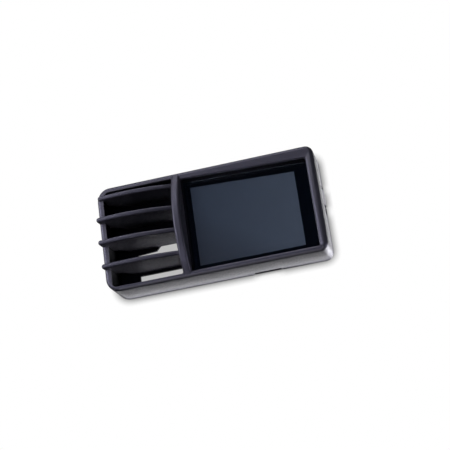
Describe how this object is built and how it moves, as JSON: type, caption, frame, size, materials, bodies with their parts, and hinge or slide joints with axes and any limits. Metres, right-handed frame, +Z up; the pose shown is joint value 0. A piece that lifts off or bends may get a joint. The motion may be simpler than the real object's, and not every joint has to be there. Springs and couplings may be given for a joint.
{
  "type": "vent-mounted vehicle display",
  "caption": "Black dashboard air-vent insert: bowed horizontal louvre fins at one end, a bowed divider and a recessed touch screen at the other, electronics behind a rear cover.",
  "frame": {"origin": "on the underside of the bottom wall, at the middle of the overall outline", "axes": "+X to the right seen from the front, +Z up, the screen and the vent face -Y"},
  "size_m": [0.1388, 0.0344, 0.067],
  "materials": {
    "housing": "fine-grained matte black",
    "fins": "fine-grained matte black",
    "baffle": "fine-grained matte black",
    "latches": "fine-grained matte black",
    "cover": "fine-grained matte black",
    "lens_glass": "polished, smoke tinted",
    "black_ink": "smooth black ink seen through glass",
    "foam": "closed-cell foam",
    "lcd_panel": "smooth slate-blue panel, switched off",
    "light_guide": "translucent white",
    "tray_steel": "pressed sheet",
    "flex_film": "amber film",
    "brass_parts": "turned",
    "screw_steel": "plated",
    "screw_black": "black zinc",
    "board_laminate": "solder mask",
    "socket_plastic": "moulded nylon",
    "pin_metal": "tin plated",
    "chip_plastic": "moulded epoxy",
    "inductor": "pressed powder",
    "capacitor_ceramic": "fired ceramic",
    "crystal_can": "drawn can",
    "buzzer_plastic": "moulded",
    "connector_plastic": "ivory nylon",
    "button_metal": "pressed cover",
    "button_plastic": "moulded"
  },
  "bodies": {
    "housing": {"bezel_frame": "housing", "louvre_fin_1": "fins", "louvre_fin_2": "fins", "louvre_fin_3": "fins", "louvre_fin_4": "fins", "air_baffle": "baffle", "rear_cover": "cover", "touch_lens": "lens_glass", "lens_border_print": "black_ink", "foam_gasket": "foam", "lcd_cell": "lcd_panel", "light_guide": "light_guide", "display_tray": "tray_steel", "lcd_flex": "flex_film", "board_standoffs": "brass_parts", "board_screws": "screw_steel", "cover_screws": "screw_black", "main_board": "board_laminate", "harness_socket": "socket_plastic", "harness_pins": "pin_metal", "microcontroller": "chip_plastic", "bus_transceiver": "chip_plastic", "voltage_regulator": "chip_plastic", "surge_diode": "chip_plastic", "power_inductor": "inductor", "capacitors": "capacitor_ceramic", "crystal": "crystal_can", "warning_buzzer": "buzzer_plastic", "flex_connector": "connector_plastic", "button_body": "button_metal"},
    "latch_left": {"snap_latch_left": "latches"},
    "latch_right": {"snap_latch_right": "latches"},
    "service_button": {"button_cap": "button_plastic"}
  },
  "joints": [
    {"name": "latch_left_flex", "type": "hinge", "parent": "housing", "child": "latch_left", "pos_m": [-0.06775, 0.00275, 0.0381], "axis": [0, 0, -1], "range_deg": [0, 4], "stiffness_Nm_per_rad": 1.6},
    {"name": "latch_right_flex", "type": "hinge", "parent": "housing", "child": "latch_right", "pos_m": [0.06775, 0.00275, 0.0381], "axis": [0, 0, 1], "range_deg": [0, 4], "stiffness_Nm_per_rad": 1.6},
    {"name": "service_button_press", "type": "slide", "parent": "housing", "child": "service_button", "axis": [0, -1, 0], "range_m": [0, 0.0003], "stiffness_N_per_m": 4000}
  ]
}
